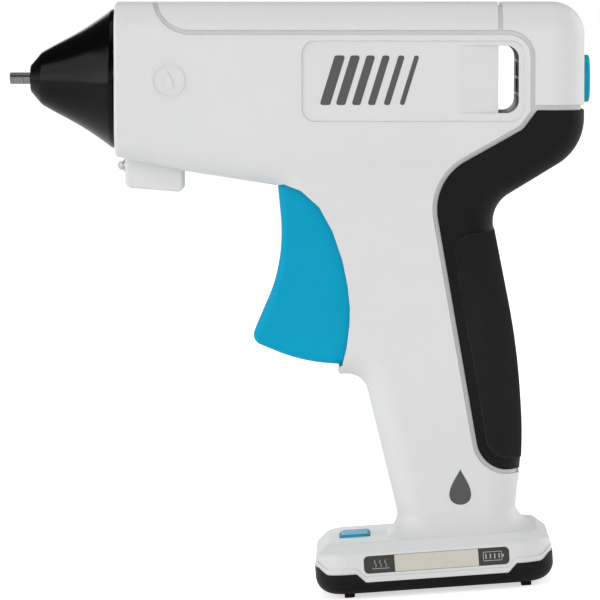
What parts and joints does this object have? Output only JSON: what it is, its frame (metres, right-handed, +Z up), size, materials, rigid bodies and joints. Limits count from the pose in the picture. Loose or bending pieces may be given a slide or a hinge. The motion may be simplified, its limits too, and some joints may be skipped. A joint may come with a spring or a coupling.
{
  "type": "glue gun",
  "caption": "Cordless pistol-grip glue gun with a stand foot, white moulded body, black rubber grip and nose cone, blue trigger, see-through stick window and indicator strip.",
  "frame": {"origin": "middle of the overall box, on the plane the foot pads rest on", "axes": "+Z up, -X towards the nozzle, +Y to the right side of the tool seen from behind; the barrel is pitched nose-up 4.2 degrees"},
  "size_m": [0.1997, 0.0572, 0.2088],
  "materials": {
    "white_shell": "fine satin moulded",
    "grip_rubber": "soft matte overmould",
    "nose_black": "polished heat-resisting",
    "tip_steel": "turned",
    "nozzle_brass": "turned",
    "bright_steel": "ground",
    "spring_steel": "drawn",
    "chamber_aluminium": "die cast",
    "heater_ceramic": "fired",
    "heat_plastic": "glass filled",
    "silicone": "moulded silicone",
    "black_plastic": "fine spark texture",
    "blue_collar": "satin gloss",
    "blue_trigger": "satin moulded",
    "blue_button": "satin moulded",
    "clear_lens": "clear",
    "circuit_board": "solder mask",
    "smoked_lens": "smoked",
    "cream_lens": "diffusing",
    "cell_wrap": "shrink wrap",
    "lead_silicone": "insulated",
    "screw_steel": "black zinc"
  },
  "bodies": {
    "housing": {"left_housing": "white_shell", "right_housing": "white_shell", "top_cover": "white_shell", "rear_cap": "white_shell", "grip_overmold": "grip_rubber", "nose_cone": "nose_black", "nozzle_tip": "tip_steel", "nozzle_body": "nozzle_brass", "check_spring": "bright_steel", "melt_chamber": "chamber_aluminium", "heater": "heater_ceramic", "heater_clip": "spring_steel", "thermal_fuse": "chamber_aluminium", "front_mount_ring": "heat_plastic", "rear_mount_ring": "heat_plastic", "inlet_sleeve": "silicone", "feed_guide": "black_plastic", "feed_collar": "blue_collar", "window_liner": "black_plastic", "trigger_pin": "bright_steel", "trigger_spring": "spring_steel", "carriage_rails": "bright_steel", "work_light_lens": "clear_lens", "work_light_board": "circuit_board", "control_board": "circuit_board", "tact_switch": "black_plastic", "charge_controller": "black_plastic", "usb_port": "bright_steel", "status_lens_heat": "smoked_lens", "task_light_lens": "cream_lens", "status_lens_charge": "smoked_lens", "light_board": "circuit_board", "base_cover": "black_plastic", "foot_pads": "grip_rubber", "front_cell": "cell_wrap", "rear_cell": "cell_wrap", "cell_tabs": "bright_steel", "cell_holder": "heat_plastic", "heater_leads": "lead_silicone", "housing_screws": "screw_steel", "base_screws": "screw_steel"},
    "trigger": {"trigger": "blue_trigger"},
    "feed_carriage": {"feed_carriage": "heat_plastic", "pawl_pin": "bright_steel", "pawl_spring": "spring_steel"},
    "grip_pawl": {"grip_pawl": "spring_steel"},
    "power_button": {"power_button": "blue_button"},
    "check_ball": {"check_ball": "bright_steel"}
  },
  "joints": [
    {"name": "trigger_pull", "type": "hinge", "parent": "housing", "child": "trigger", "pos_m": [0.01266, 0, 0.1456], "axis": [0, -1, 0], "range_deg": [0, 12], "stiffness_Nm_per_rad": 0.6, "springref_deg": -20.05, "deforming": ["trigger_spring"]},
    {"name": "carriage_feed", "type": "slide", "parent": "housing", "child": "feed_carriage", "axis": [-0.9973, 0, 0.0732], "range_m": [0, 0.0067]},
    {"name": "pawl_lift", "type": "hinge", "parent": "feed_carriage", "child": "grip_pawl", "pos_m": [0.02704, 0, 0.18846], "axis": [0, 1, 0], "range_deg": [0, 6], "stiffness_Nm_per_rad": 0.01, "springref_deg": -17.19, "deforming": ["pawl_spring"]},
    {"name": "button_press", "type": "slide", "parent": "housing", "child": "power_button", "axis": [0, 0, -1], "range_m": [0, 0.001], "stiffness_N_per_m": 900, "springref_m": -0.0008},
    {"name": "valve_lift", "type": "slide", "parent": "housing", "child": "check_ball", "axis": [-0.9973, 0, 0.0732], "range_m": [0, 0.001], "stiffness_N_per_m": 60, "springref_m": -0.001, "deforming": ["check_spring"]}
  ],
  "couplings": [
    {"joint": "carriage_feed", "follows": "trigger_pull", "m_per_rad": 0.0314}
  ]
}
